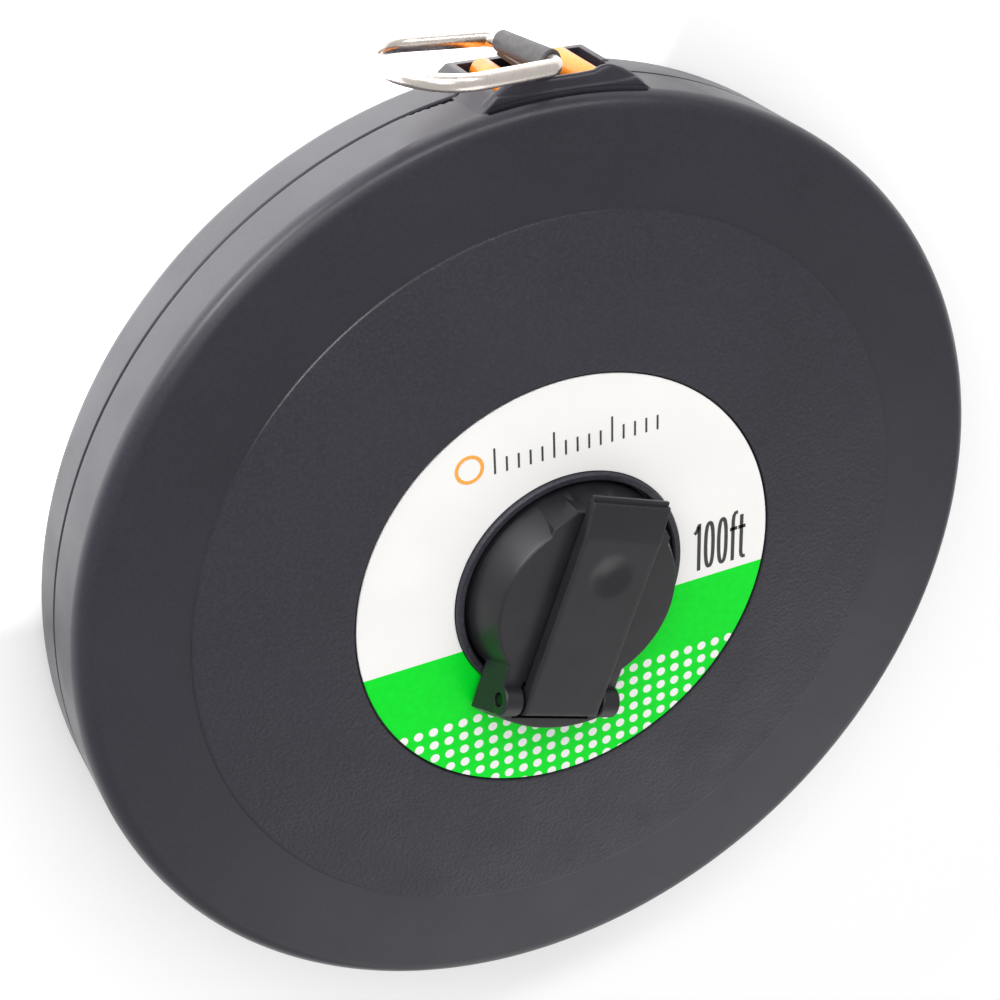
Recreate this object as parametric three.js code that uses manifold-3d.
/**
 * Closed-reel long measuring tape with a fold-out crank grip.
 *
 * Millimetres. The tape lies on its rear face: +Z points up out of the crank side along the winding
 * axis, +Y to the mouth of the case and +X to the right of someone who looks down at the crank with
 * the mouth away from them. The origin is the middle of the rear face. The pieces are drawn in a
 * frame of their own, standing on the rim: y = 0 is the seam between the two shells, the crank is
 * on the side of negative y, z is up to the mouth and the winding axis is the Y axis.
 */
import * as THREE from 'three';
import { mergeVertices } from 'three/addons/utils/BufferGeometryUtils.js';
import Module from 'manifold-3d';

const wasm = await Module();
wasm.setup();

const radians = THREE.MathUtils.degToRad;
const UPRIGHT = new THREE.Vector3(0, 0, 1);

/* ---------------------------------------------------------------- driving dimensions */

const GAP = 0.3;

const CASE_RADIUS = 75;
const CASE_WALL = 2.2;
const CASE_SIDES = 72;
const RIM_ROUND = 2.8;
const INNER_CORNER = 1.8;
const SEAM_LIP_HEIGHT = 1.5;
const SEAM_LIP_THICKNESS = 0.9;

// Distances from the seam to the outside of each shell.
const FRONT_EDGE = 10.8;
const FRONT_CROWN = 13.25;
const LABEL_PLANE = 13.05;
const REAR_EDGE = 8.9;
const REAR_FACE = 11.3;
const PANEL_RADIUS = 58.5;
const PANEL_STEP = 0.28;
const PANEL_SWELL = 0.35;
const FACE_WALL = 2;
const REAR_EDGE_WALL = 1.5;

const LABEL_RADIUS = 34.6;
const LABEL_THICKNESS = 0.3;
const COLLAR_OUTER = 19.3;
const COLLAR_INNER = 17.7;
const COLLAR_HEIGHT = 0.8;

const MOUTH_TOP = 75.7;
const MOUTH_HALF_WIDTH_TOP = 10.6;
const MOUTH_HALF_WIDTH_BASE = 13.4;
const MOUTH_BASE = 73.4;
const MOUTH_FRONT = -8.3;
const MOUTH_REAR = 8.2;
const SLOT_HALF_WIDTH = 9.6;
const SLOT_FRONT = -6.6;
const SLOT_REAR = 6.8;
const LIP_EAR_TOP = 77.8;
const LIP_EAR_INNER = 5.4;
const LIP_EAR_OUTER = 7.2;
const LIP_SADDLE_TOP = 77.15;
const LIP_SADDLE_HALF_WIDTH = 4.6;

const ROLLER_RADIUS = 1.85;
const ROLLER_FRONT = -6.2;
const ROLLER_REAR = 6.4;
const ROLLER_SPREAD = 6;
const ROLLER_HEIGHT = 74.5;
const ROLLER_PIN_RADIUS = 0.6;
const ROLLER_PIN_FRONT = -7.7;
const ROLLER_PIN_REAR = 7.4;

const SCREW_CIRCLE = 70;
const SCREW_BOSS_RADIUS = 2.45;
const SCREW_SHANK_RADIUS = 1.1;
const SCREW_HEAD_RADIUS = 1.9;
const SCREW_HEAD_HEIGHT = 1.05;
const SCREW_TIP = -6.5;
const SCREW_POCKET_FLOOR = 7.4;

const TAPE_WIDTH = 12.5;
const TAPE_THICKNESS = 0.5;
const COIL_OUTER = 66.8;
const HUB_RADIUS = 21.5;
const HUB_HALF_WIDTH = 6.3;
const HUB_REGISTER = 10;
const HUB_END = 7.7;
const FLANGE_RADIUS = 67.1;
const FLANGE_THICKNESS = 0.5;
const SPIGOT_RADIUS = 7;
const SPIGOT_BORE = 4.4;
const SPIGOT_TIP = -3;
const SPIGOT_PLAY = 0.4;
const ANCHOR_PIN_RADIUS = 1;

// Heights on the crank are measured from the label plane towards the front.
const CRANK_ANGLE = 17.9;
const DRUM_BASE_RADIUS = 17.2;
const DRUM_TOP_RADIUS = 14.8;
const DRUM_HEIGHT = 6.2;
const ARM_HALF_WIDTH = 11;
const ARM_END_RADIUS = 23.5;
const ARM_START = -8;
const ARM_DRAUGHT = 0.91;
const ARM_UNDERSIDE = 1.15;
const NOSE_HALF_WIDTH = 11.5;
const NOSE_SHOULDER = 13;
const NOSE_TIP_HALF_WIDTH = 8.6;
const NOSE_TIP = 16.5;
const HINGE_U = -16.6;
const HINGE_HEIGHT = 6.2;
const LUG_RADIUS = 2.4;
const LUG_INNER = 7.1;
const LUG_OUTER = 10.2;
const HINGE_PIN_RADIUS = 0.8;
const HINGE_GROOVE_RADIUS = 3.1;
const KNUCKLE_RADIUS = 2.25;
const CRANK_SCREW_RADIUS = 1.25;

const FLAP_HEEL_U = -18;
const FLAP_TIP_U = 18;
const FLAP_BEVEL_U = 11.9;
const FLAP_UNDERSIDE = 6.5;
const FLAP_TOP = 8.6;
const FLAP_TIP_TOP = 7.8;
const FLAP_HEEL_HALF_WIDTH = 6.2;
const FLAP_TIP_HALF_WIDTH = 6.8;
const DIMPLE_U = 6.1;
const DIMPLE_RADIUS = 3.85;
const DIMPLE_DEPTH = 1;

// The lead runs straight from under the sleeve, below the right roller, to the top turn of the coil.
const LEAD_SLOPE = 27.05;
const LEAD_AXIS_DISTANCE = 66.68;
const LEAD_START_X = -3.6;
const LEAD_LENGTH = 25;

const SLEEVE_CENTRE = { x: -3.4, y: -2.1, z: 79.3 };
const SLEEVE_RADIUS = 1.85;
const SLEEVE_LENGTH = 11.8;
const SLEEVE_TURN = 9.2;
const RING_WIRE_RADIUS = 1.2;
const RING_TILT = 3.95;
const RING_REACH = 22.4;
const RING_NEAR_HALF_WIDTH = 7.6;
const RING_FAR_HALF_WIDTH = 10.3;
const RING_NEAR_CORNER = 2.2;
const RING_FAR_CORNER = 7.9;
const RING_END_GAP = 0.5;

/* ---------------------------------------------------------------- materials */

const plastic = (color, roughness) => new THREE.MeshStandardMaterial({ color, roughness, metalness: 0 });
const metal = (color, roughness) => new THREE.MeshStandardMaterial({ color, roughness, metalness: 1 });

const MATERIALS = {
  casePlastic: () => plastic(0x1d1e22, 0.45),
  crankPlastic: () => plastic(0x16171b, 0.3),
  spoolPlastic: () => plastic(0x8d9096, 0.5),
  labelFilm: () => plastic(0xf2f2ee, 0.4),
  rollerPlastic: () => plastic(0xf08a24, 0.35),
  tapeBlade: () => plastic(0xe9c62c, 0.4),
  sleeveRubber: () => plastic(0x55585e, 0.6),
  steel: () => metal(0xc8c9cc, 0.25),
};

/* ---------------------------------------------------------------- helpers */

/** A body of revolution about the winding axis, from the [radius, y] corners of its section. */
function turned(corners, sides = 48) {
  const points = corners.map(([radius, y]) => new THREE.Vector2(radius, y));
  const onAxis = corners[0][0] === 0;
  if (!onAxis) points.push(points[0].clone());
  return new THREE.LatheGeometry(points, sides, Math.PI / sides);
}

/** A flat ring about the winding axis. */
function ring(innerRadius, outerRadius, yLow, yHigh, sides = 48) {
  return turned([[innerRadius, yLow], [outerRadius, yLow], [outerRadius, yHigh], [innerRadius, yHigh]], sides);
}

/** A round bar along Y, centred on (x, z). */
function barAlongY(radius, yLow, yHigh, x = 0, z = 0, sides = 20) {
  const bar = new THREE.CylinderGeometry(radius, radius, yHigh - yLow, sides);
  return bar.translate(x, (yLow + yHigh) / 2, z);
}

/** A round bar along X, centred on (y, z). */
function barAlongX(radius, xLow, xHigh, y, z, sides = 20) {
  const bar = new THREE.CylinderGeometry(radius, radius, xHigh - xLow, sides);
  bar.rotateZ(Math.PI / 2);
  return bar.translate((xLow + xHigh) / 2, y, z);
}

function block(xLow, xHigh, yLow, yHigh, zLow, zHigh) {
  const box = new THREE.BoxGeometry(xHigh - xLow, yHigh - yLow, zHigh - zLow);
  return box.translate((xLow + xHigh) / 2, (yLow + yHigh) / 2, (zLow + zHigh) / 2);
}

/** A plate whose outline is drawn in X and Z, from yLow to yHigh. */
function plateAcrossY(outline, yLow, yHigh, curveSegments = 12) {
  const plate = new THREE.ExtrudeGeometry(outline, {
    depth: yHigh - yLow,
    bevelEnabled: false,
    curveSegments,
  });
  plate.rotateX(Math.PI / 2);
  return plate.translate(0, yHigh, 0);
}

function outlineOf(corners) {
  return new THREE.Shape(corners.map(([a, b]) => new THREE.Vector2(a, b)));
}

/** Turns a closed three.js geometry into a solid that can be cut and joined. */
function solidOf(geometry) {
  const bare = geometry.clone();
  bare.deleteAttribute('normal');
  bare.deleteAttribute('uv');
  const merged = mergeVertices(bare, 1e-4);
  const corners = merged.index.array;
  const kept = [];
  for (let i = 0; i < corners.length; i += 3) {
    const [a, b, c] = corners.slice(i, i + 3);
    if (a !== b && b !== c && c !== a) kept.push(a, b, c);
  }
  return new wasm.Manifold(new wasm.Mesh({
    numProp: 3,
    vertProperties: new Float32Array(merged.attributes.position.array),
    triVerts: new Uint32Array(kept),
  }));
}

function geometryOf(solid) {
  const mesh = solid.getMesh();
  const geometry = new THREE.BufferGeometry();
  geometry.setAttribute('position', new THREE.BufferAttribute(mesh.vertProperties, 3));
  geometry.setIndex(new THREE.BufferAttribute(mesh.triVerts, 1));
  geometry.computeVertexNormals();
  return geometry;
}

/** Joins the first list of geometries and cuts the second list out of them. */
function shaped(joined, removed = []) {
  let solid = solidOf(joined[0]);
  for (const piece of joined.slice(1)) solid = solid.add(solidOf(piece));
  for (const piece of removed) solid = solid.subtract(solidOf(piece));
  return geometryOf(solid);
}

function part(name, geometry, material) {
  const mesh = new THREE.Mesh(geometry, material());
  mesh.name = name;
  return mesh;
}

/** Corners of a quarter circle in the section plane, in the order they are passed. */
function quarterArc(centreRadius, centreY, radius, fromDegrees, toDegrees, steps = 3) {
  const corners = [];
  for (let i = 0; i <= steps; i += 1) {
    const angle = radians(fromDegrees + ((toDegrees - fromDegrees) * i) / steps);
    corners.push([centreRadius + radius * Math.cos(angle), centreY + radius * Math.sin(angle)]);
  }
  return corners;
}

/** The middles of the case screws, as [x, z]. */
const screwPlaces = [45, 135, 225, 315].map((angle) => [
  SCREW_CIRCLE * Math.cos(radians(angle)),
  SCREW_CIRCLE * Math.sin(radians(angle)),
]);

/* ---------------------------------------------------------------- case */

/** The raised frame on the rim around the slot that the tape comes out of. */
function mouthFrame(yLow, yHigh) {
  return plateAcrossY(outlineOf([
    [-MOUTH_HALF_WIDTH_BASE, MOUTH_BASE],
    [MOUTH_HALF_WIDTH_BASE, MOUTH_BASE],
    [MOUTH_HALF_WIDTH_TOP, MOUTH_TOP],
    [-MOUTH_HALF_WIDTH_TOP, MOUTH_TOP],
  ]), yLow, yHigh);
}

/** The taller lip in front of the slot: an ear at each end and a saddle where the sleeve lies. */
function frontLip() {
  const rightHalf = [
    [MOUTH_HALF_WIDTH_BASE - 0.4, MOUTH_BASE],
    [MOUTH_HALF_WIDTH_TOP + 1.2, MOUTH_TOP - 0.7],
    [LIP_EAR_OUTER, LIP_EAR_TOP - 0.25],
    [(LIP_EAR_INNER + LIP_EAR_OUTER) / 2, LIP_EAR_TOP],
    [LIP_EAR_INNER, LIP_EAR_TOP],
    [LIP_SADDLE_HALF_WIDTH, LIP_SADDLE_TOP],
  ];
  const leftHalf = rightHalf.map(([x, z]) => [-x, z]).reverse();
  return plateAcrossY(outlineOf([...rightHalf, ...leftHalf]), MOUTH_FRONT, SLOT_FRONT);
}

/** What the slot and the ends of the roller pins take out of both shells. */
function mouthCuts() {
  const above = LIP_EAR_TOP + 1;
  const below = CASE_RADIUS - 5;
  const slot = block(-SLOT_HALF_WIDTH, SLOT_HALF_WIDTH, SLOT_FRONT, SLOT_REAR, below, above);
  const bores = [-ROLLER_SPREAD, ROLLER_SPREAD].map((x) => barAlongY(
    ROLLER_PIN_RADIUS + GAP, ROLLER_PIN_FRONT - GAP, ROLLER_PIN_REAR + GAP, x, ROLLER_HEIGHT, 16,
  ));
  return [slot, ...bores];
}

function frontShell() {
  const inside = CASE_RADIUS - CASE_WALL;
  const roundCentre = CASE_RADIUS - RIM_ROUND;
  const recessFloor = -(LABEL_PLANE - LABEL_THICKNESS - GAP);
  const recessRadius = LABEL_RADIUS + GAP;
  const edgeInside = -(FRONT_EDGE - FACE_WALL);
  const crownInside = -(FRONT_CROWN - FACE_WALL - 0.65);
  const section = [
    [COLLAR_INNER, -(LABEL_PLANE + COLLAR_HEIGHT)],
    [COLLAR_OUTER, -(LABEL_PLANE + COLLAR_HEIGHT)],
    [COLLAR_OUTER, recessFloor],
    [recessRadius, recessFloor],
    [recessRadius, -FRONT_CROWN],
    [(recessRadius + PANEL_RADIUS) / 2, -((FRONT_CROWN + FRONT_EDGE + PANEL_STEP) / 2 + PANEL_SWELL)],
    [PANEL_RADIUS, -(FRONT_EDGE + 2 * PANEL_STEP)],
    [PANEL_RADIUS + PANEL_STEP, -(FRONT_EDGE + PANEL_STEP)],
    ...quarterArc(roundCentre, -(FRONT_EDGE - RIM_ROUND), RIM_ROUND, -90, 0),
    [CASE_RADIUS, -GAP / 2],
    [inside + SEAM_LIP_THICKNESS, -GAP / 2],
    [inside + SEAM_LIP_THICKNESS, SEAM_LIP_HEIGHT],
    [inside, SEAM_LIP_HEIGHT],
    [inside, edgeInside + INNER_CORNER],
    [inside - INNER_CORNER, edgeInside],
    [PANEL_RADIUS, edgeInside - PANEL_STEP],
    [recessRadius, crownInside],
    [COLLAR_INNER, crownInside],
  ];
  const bosses = screwPlaces.map(([x, z]) => barAlongY(SCREW_BOSS_RADIUS, edgeInside - 0.5, -GAP / 2, x, z, 16));
  const pilots = screwPlaces.map(([x, z]) => barAlongY(
    SCREW_SHANK_RADIUS + GAP, SCREW_TIP - GAP, SEAM_LIP_HEIGHT, x, z, 12,
  ));
  return shaped(
    [turned(section, CASE_SIDES), mouthFrame(MOUTH_FRONT, -GAP / 2), frontLip(), ...bosses],
    [...mouthCuts(), ...pilots],
  );
}

function rearShell() {
  const inside = CASE_RADIUS - CASE_WALL;
  const roundCentre = CASE_RADIUS - RIM_ROUND;
  const rebate = inside + SEAM_LIP_THICKNESS + GAP;
  const crownRadius = LABEL_RADIUS + 1.4;
  const edgeInside = REAR_EDGE - REAR_EDGE_WALL;
  const floorInside = REAR_FACE - FACE_WALL - 0.1;
  const section = [
    [0, floorInside],
    [SPIGOT_BORE, floorInside],
    [SPIGOT_BORE, SPIGOT_TIP],
    [SPIGOT_RADIUS, SPIGOT_TIP],
    [SPIGOT_RADIUS, floorInside],
    [crownRadius, floorInside],
    [PANEL_RADIUS, edgeInside + PANEL_STEP],
    [inside - INNER_CORNER, edgeInside],
    [inside, edgeInside - INNER_CORNER],
    [inside, SEAM_LIP_HEIGHT + GAP],
    [rebate, SEAM_LIP_HEIGHT + GAP],
    [rebate, GAP / 2],
    [CASE_RADIUS, GAP / 2],
    ...quarterArc(roundCentre, REAR_EDGE - RIM_ROUND, RIM_ROUND, 0, 90),
    [PANEL_RADIUS + PANEL_STEP, REAR_EDGE + PANEL_STEP],
    [PANEL_RADIUS, REAR_EDGE + 2 * PANEL_STEP],
    [(crownRadius + PANEL_RADIUS) / 2, (REAR_FACE + REAR_EDGE + PANEL_STEP) / 2 + PANEL_SWELL],
    [crownRadius, REAR_FACE],
    [0, REAR_FACE],
  ];
  const bosses = screwPlaces.map(([x, z]) => barAlongY(SCREW_BOSS_RADIUS, GAP / 2, edgeInside + 0.5, x, z, 16));
  const holes = screwPlaces.flatMap(([x, z]) => [
    barAlongY(SCREW_SHANK_RADIUS + GAP, -1, REAR_EDGE, x, z, 12),
    barAlongY(SCREW_HEAD_RADIUS + GAP, SCREW_POCKET_FLOOR, REAR_EDGE + 1, x, z, 16),
  ]);
  return shaped(
    [turned(section, CASE_SIDES), mouthFrame(GAP / 2, MOUTH_REAR), ...bosses],
    [...mouthCuts(), ...holes],
  );
}

function caseScrew([x, z]) {
  const headSeat = SCREW_POCKET_FLOOR + GAP;
  const screw = turned([
    [0, SCREW_TIP],
    [SCREW_SHANK_RADIUS, SCREW_TIP],
    [SCREW_SHANK_RADIUS, headSeat],
    [SCREW_HEAD_RADIUS, headSeat],
    [SCREW_HEAD_RADIUS, headSeat + SCREW_HEAD_HEIGHT * 0.6],
    [SCREW_HEAD_RADIUS * 0.6, headSeat + SCREW_HEAD_HEIGHT],
    [0, headSeat + SCREW_HEAD_HEIGHT],
  ], 12);
  return screw.translate(x, 0, z);
}

function frontLabel() {
  return ring(
    COLLAR_OUTER + GAP, LABEL_RADIUS, -LABEL_PLANE, -(LABEL_PLANE - LABEL_THICKNESS), CASE_SIDES,
  );
}

/* ---------------------------------------------------------------- reel */

function spoolHub() {
  const webRear = SPIGOT_TIP - SPIGOT_PLAY;
  const pocketFloor = webRear - 0.9;
  const section = [
    [CRANK_SCREW_RADIUS + GAP, -HUB_END],
    [HUB_REGISTER, -HUB_END],
    [HUB_REGISTER, -HUB_HALF_WIDTH],
    [HUB_RADIUS, -HUB_HALF_WIDTH],
    [HUB_RADIUS, HUB_HALF_WIDTH],
    [HUB_RADIUS - 3.5, HUB_HALF_WIDTH],
    [HUB_RADIUS - 3.5, pocketFloor],
    [HUB_REGISTER + 2, pocketFloor],
    [HUB_REGISTER + 2, HUB_HALF_WIDTH],
    [HUB_REGISTER, HUB_HALF_WIDTH],
    [HUB_REGISTER, HUB_END],
    [SPIGOT_RADIUS + SPIGOT_PLAY, HUB_END],
    [SPIGOT_RADIUS + SPIGOT_PLAY, webRear],
    [CRANK_SCREW_RADIUS + GAP, webRear],
  ];
  const groove = barAlongY(
    ANCHOR_PIN_RADIUS + GAP, -HUB_HALF_WIDTH - 1, HUB_HALF_WIDTH + 1, 0, -anchorPinHeight(), 12,
  );
  return shaped([turned(section)], [groove]);
}

function anchorPinHeight() {
  return HUB_RADIUS - ANCHOR_PIN_RADIUS - 0.1;
}

function anchorPin() {
  return barAlongY(ANCHOR_PIN_RADIUS, -TAPE_WIDTH / 2, TAPE_WIDTH / 2, 0, -anchorPinHeight(), 12);
}

function spoolFlange(side) {
  const near = side * (HUB_HALF_WIDTH + GAP);
  const far = side * (HUB_HALF_WIDTH + GAP + FLANGE_THICKNESS);
  return ring(HUB_REGISTER + GAP, FLANGE_RADIUS, Math.min(near, far), Math.max(near, far), CASE_SIDES);
}

function tapeCoil() {
  return ring(HUB_RADIUS + GAP, COIL_OUTER, -TAPE_WIDTH / 2, TAPE_WIDTH / 2, CASE_SIDES);
}

function thrustWasher() {
  return ring(SPIGOT_RADIUS + GAP, HUB_REGISTER + 1, HUB_END + GAP, HUB_END + GAP + 0.8, 32);
}

/* ---------------------------------------------------------------- crank */

/** Case y of a height on the crank. */
const atHeight = (height) => -(LABEL_PLANE + height);

/** Gives a plate on the drum sloping sides, by drawing in its face that is level with the drum's top. */
function drafted(outline) {
  const top = atHeight(DRUM_HEIGHT);
  const plate = plateAcrossY(outline, top, atHeight(ARM_UNDERSIDE), 8);
  const place = plate.attributes.position;
  for (let i = 0; i < place.count; i += 1) {
    const narrowing = Math.abs(place.getY(i) - top) < 0.01 ? ARM_DRAUGHT : 1;
    place.setX(i, place.getX(i) * narrowing);
    place.setZ(i, place.getZ(i) * narrowing);
  }
  return plate;
}

function crankArm() {
  const shoulderU = -Math.sqrt(ARM_END_RADIUS ** 2 - ARM_HALF_WIDTH ** 2);
  const halfAngle = Math.asin(ARM_HALF_WIDTH / ARM_END_RADIUS);
  const outline = new THREE.Shape();
  outline.moveTo(-ARM_HALF_WIDTH, ARM_START);
  outline.lineTo(-ARM_HALF_WIDTH, shoulderU);
  outline.absarc(0, 0, ARM_END_RADIUS, -Math.PI / 2 - halfAngle, -Math.PI / 2 + halfAngle, false);
  outline.lineTo(ARM_HALF_WIDTH, ARM_START);
  return drafted(outline);
}

/** The short nose under the tip of the grip. */
function crankNose() {
  return drafted(outlineOf([
    [-NOSE_HALF_WIDTH, 6],
    [NOSE_HALF_WIDTH, 6],
    [NOSE_HALF_WIDTH, NOSE_SHOULDER],
    [NOSE_TIP_HALF_WIDTH, NOSE_TIP],
    [-NOSE_TIP_HALF_WIDTH, NOSE_TIP],
    [-NOSE_HALF_WIDTH, NOSE_SHOULDER],
  ]));
}

function crankBody() {
  const screwHole = CRANK_SCREW_RADIUS + GAP;
  const headPocket = 3.7;
  const collarFlange = COLLAR_OUTER + 0.2;
  const flangeFront = -10.2;
  const rearEnd = -(HUB_END + GAP);
  const drum = turned([
    [headPocket, atHeight(DRUM_HEIGHT)],
    [DRUM_TOP_RADIUS, atHeight(DRUM_HEIGHT)],
    [DRUM_BASE_RADIUS, atHeight(0)],
    [DRUM_BASE_RADIUS, flangeFront],
    [collarFlange, flangeFront],
    [collarFlange, rearEnd],
    [DRUM_TOP_RADIUS, rearEnd],
    [DRUM_TOP_RADIUS - 2.5, atHeight(3.6)],
    [6, atHeight(3.6)],
    [6, rearEnd],
    [screwHole, rearEnd],
    [screwHole, atHeight(2.4)],
    [headPocket, atHeight(2.4)],
  ]);
  const lugs = [[-LUG_OUTER, -LUG_INNER], [LUG_INNER, LUG_OUTER]].map(([from, to]) => (
    barAlongX(LUG_RADIUS, from, to, atHeight(HINGE_HEIGHT), HINGE_U, 20)
  ));
  const groove = barAlongX(HINGE_GROOVE_RADIUS, -6.9, 6.9, atHeight(HINGE_HEIGHT), HINGE_U, 24);
  const pinBore = barAlongX(HINGE_PIN_RADIUS + GAP, -20, 20, atHeight(HINGE_HEIGHT), HINGE_U, 12);
  return shaped([drum, crankArm(), crankNose(), ...lugs], [groove, pinBore]);
}

function crankWasher() {
  return ring(CRANK_SCREW_RADIUS + GAP, 3.4, atHeight(3.2), atHeight(2.7), 24);
}

function crankScrew() {
  return turned([
    [0, atHeight(5.6)],
    [2.2, atHeight(5.6)],
    [3.1, atHeight(4.9)],
    [3.1, atHeight(3.5)],
    [CRANK_SCREW_RADIUS, atHeight(3.5)],
    [CRANK_SCREW_RADIUS, SPIGOT_TIP - SPIGOT_PLAY - 0.6],
    [0, SPIGOT_TIP - SPIGOT_PLAY - 0.6],
  ], 20);
}

function gripHingePin() {
  const end = LUG_OUTER - 0.2;
  return barAlongX(HINGE_PIN_RADIUS, -end, end, atHeight(HINGE_HEIGHT), HINGE_U, 12);
}

/** Drawn lying flat on the drum, with its length along Z and its hinge at negative Z. */
function gripFlap() {
  const side = outlineOf([
    [FLAP_HEEL_U, FLAP_UNDERSIDE],
    [FLAP_TIP_U, FLAP_UNDERSIDE],
    [FLAP_TIP_U, FLAP_TIP_TOP],
    [FLAP_BEVEL_U, FLAP_TOP],
    [FLAP_HEEL_U, FLAP_TOP],
  ]);
  const plate = new THREE.ExtrudeGeometry(side, { depth: 2, bevelEnabled: false });
  const place = plate.attributes.position;
  for (let i = 0; i < place.count; i += 1) {
    const u = place.getX(i);
    const along = (u - FLAP_HEEL_U) / (FLAP_TIP_U - FLAP_HEEL_U);
    const halfWidth = THREE.MathUtils.lerp(FLAP_HEEL_HALF_WIDTH, FLAP_TIP_HALF_WIDTH, along);
    const across = place.getZ(i) - 1;
    place.setXYZ(i, across * halfWidth, atHeight(place.getY(i)), u);
  }
  const knuckle = barAlongX(
    KNUCKLE_RADIUS, -FLAP_HEEL_HALF_WIDTH, FLAP_HEEL_HALF_WIDTH, atHeight(HINGE_HEIGHT), HINGE_U, 24,
  );
  const ball = (DIMPLE_RADIUS ** 2 + DIMPLE_DEPTH ** 2) / (2 * DIMPLE_DEPTH);
  const dimple = new THREE.SphereGeometry(ball, 32, 24);
  dimple.translate(0, atHeight(FLAP_TOP + ball - DIMPLE_DEPTH), DIMPLE_U);
  const pinBore = barAlongX(HINGE_PIN_RADIUS + GAP, -20, 20, atHeight(HINGE_HEIGHT), HINGE_U, 12);
  return shaped([plate, knuckle], [dimple, pinBore]);
}

/* ---------------------------------------------------------------- mouth and tape end */

function mouthRoller(x) {
  const roller = ring(ROLLER_PIN_RADIUS + GAP, ROLLER_RADIUS, ROLLER_FRONT, ROLLER_REAR, 20);
  return roller.translate(x, 0, ROLLER_HEIGHT);
}

function rollerPin(x) {
  return barAlongY(ROLLER_PIN_RADIUS, ROLLER_PIN_FRONT, ROLLER_PIN_REAR, x, ROLLER_HEIGHT, 12);
}

/** The first stretch of the tape, from under the sleeve down to the coil. */
function tapeLead() {
  const lead = block(0, LEAD_LENGTH, -TAPE_WIDTH / 2, TAPE_WIDTH / 2, -TAPE_THICKNESS / 2, TAPE_THICKNESS / 2);
  const slope = radians(LEAD_SLOPE);
  lead.rotateY(slope);
  const startZ = (LEAD_AXIS_DISTANCE - LEAD_START_X * Math.sin(slope)) / Math.cos(slope);
  return lead.translate(LEAD_START_X, 0, startZ);
}

function endSleeve() {
  return ring(RING_WIRE_RADIUS + GAP, SLEEVE_RADIUS, -SLEEVE_LENGTH / 2, SLEEVE_LENGTH / 2, 24);
}

/** A bend of the wire, round an upright axis through its centre. */
class Bend extends THREE.Curve {
  constructor(centre, start, end) {
    super();
    this.centre = centre;
    this.spoke = start.clone().sub(centre);
    this.sweep = this.spoke.angleTo(end.clone().sub(centre));
  }

  getPoint(t) {
    return this.spoke.clone().applyAxisAngle(UPRIGHT, t * this.sweep).add(this.centre);
  }
}

/** Rounds the corner between two straight runs of the wire, which turns to the left there. */
function bendAt(before, corner, after, radius) {
  const back = before.clone().sub(corner).normalize();
  const on = after.clone().sub(corner).normalize();
  const half = back.angleTo(on) / 2;
  const inwards = back.clone().add(on).normalize();
  const centre = corner.clone().addScaledVector(inwards, radius / Math.sin(half));
  const start = corner.clone().addScaledVector(back, radius / Math.tan(half));
  const end = corner.clone().addScaledVector(on, radius / Math.tan(half));
  return { start, end, curve: new Bend(centre, start, end) };
}

/** Wire bent to a tapering loop. Its two ends meet inside the sleeve. */
function endRing() {
  const near = RING_NEAR_HALF_WIDTH;
  const far = RING_FAR_HALF_WIDTH;
  const first = new THREE.Vector3(0, RING_END_GAP / 2, 0);
  const last = new THREE.Vector3(0, -RING_END_GAP / 2, 0);
  const corners = [[0, near], [-RING_REACH, far], [-RING_REACH, -far], [0, -near]].map(([x, y]) => (
    new THREE.Vector3(x, y, 0)
  ));
  const radii = [RING_NEAR_CORNER, RING_FAR_CORNER, RING_FAR_CORNER, RING_NEAR_CORNER];
  const path = new THREE.CurvePath();
  let from = first;
  corners.forEach((corner, i) => {
    const bend = bendAt(corners[i - 1] ?? first, corner, corners[i + 1] ?? last, radii[i]);
    path.add(new THREE.LineCurve3(from, bend.start));
    path.add(bend.curve);
    from = bend.end;
  });
  path.add(new THREE.LineCurve3(from, last));
  const section = new THREE.Shape();
  section.absarc(0, 0, RING_WIRE_RADIUS, 0, 2 * Math.PI, false);
  return new THREE.ExtrudeGeometry(section, { steps: 60, curveSegments: 4, extrudePath: path });
}

/* ---------------------------------------------------------------- assembly */

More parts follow.
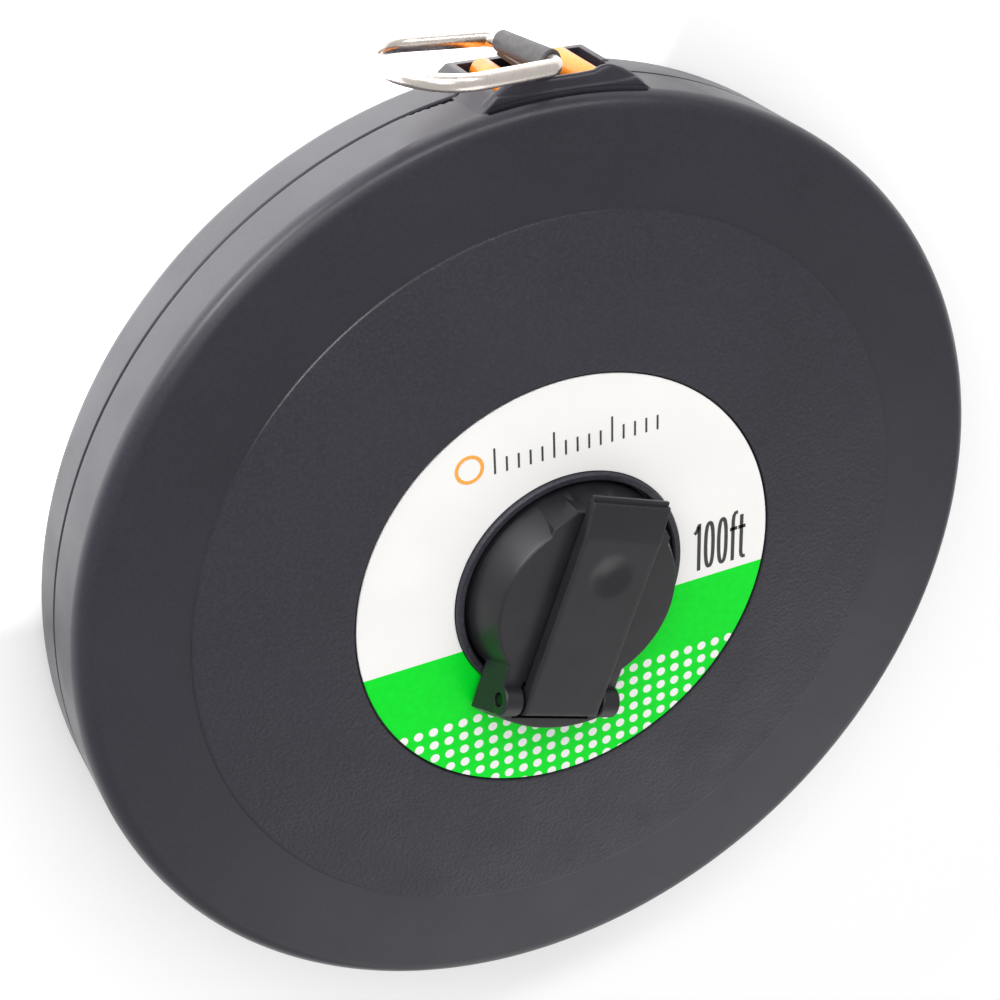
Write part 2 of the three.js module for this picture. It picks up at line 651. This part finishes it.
const casing = new THREE.Group();
casing.add(part('front_shell', frontShell(), MATERIALS.casePlastic));
casing.add(part('rear_shell', rearShell(), MATERIALS.casePlastic));
casing.add(part('front_label', frontLabel(), MATERIALS.labelFilm));
screwPlaces.forEach((place, i) => {
  casing.add(part(`case_screw_${i + 1}`, caseScrew(place), MATERIALS.steel));
});
for (const [side, x] of [['left', -ROLLER_SPREAD], ['right', ROLLER_SPREAD]]) {
  casing.add(part(`mouth_roller_${side}`, mouthRoller(x), MATERIALS.rollerPlastic));
  casing.add(part(`roller_pin_${side}`, rollerPin(x), MATERIALS.steel));
}

const reel = new THREE.Group();
reel.add(part('spool_hub', spoolHub(), MATERIALS.spoolPlastic));
reel.add(part('spool_flange_front', spoolFlange(-1), MATERIALS.spoolPlastic));
reel.add(part('spool_flange_rear', spoolFlange(1), MATERIALS.spoolPlastic));
reel.add(part('tape_coil', tapeCoil(), MATERIALS.tapeBlade));
reel.add(part('tape_anchor_pin', anchorPin(), MATERIALS.steel));
reel.add(part('thrust_washer', thrustWasher(), MATERIALS.steel));

const crank = new THREE.Group();
crank.rotation.y = radians(CRANK_ANGLE);
crank.add(part('crank_body', crankBody(), MATERIALS.crankPlastic));
crank.add(part('crank_washer', crankWasher(), MATERIALS.steel));
crank.add(part('crank_screw', crankScrew(), MATERIALS.steel));
crank.add(part('grip_hinge_pin', gripHingePin(), MATERIALS.steel));
crank.add(part('grip_flap', gripFlap(), MATERIALS.crankPlastic));
reel.add(crank);

const tapeEnd = new THREE.Group();
tapeEnd.add(part('tape_lead', tapeLead(), MATERIALS.tapeBlade));
const sleeveFrame = new THREE.Group();
sleeveFrame.position.set(SLEEVE_CENTRE.x, SLEEVE_CENTRE.y, SLEEVE_CENTRE.z);
sleeveFrame.rotation.z = radians(SLEEVE_TURN);
sleeveFrame.add(part('end_sleeve', endSleeve(), MATERIALS.sleeveRubber));
const ringFrame = new THREE.Group();
ringFrame.rotation.y = radians(RING_TILT);
ringFrame.add(part('end_ring', endRing(), MATERIALS.steel));
sleeveFrame.add(ringFrame);
tapeEnd.add(sleeveFrame);

// Lays the standing case on its rear face.
const group = new THREE.Group();
group.rotation.x = -Math.PI / 2;
group.position.z = REAR_FACE;
group.add(casing, reel, tapeEnd);

export default group;
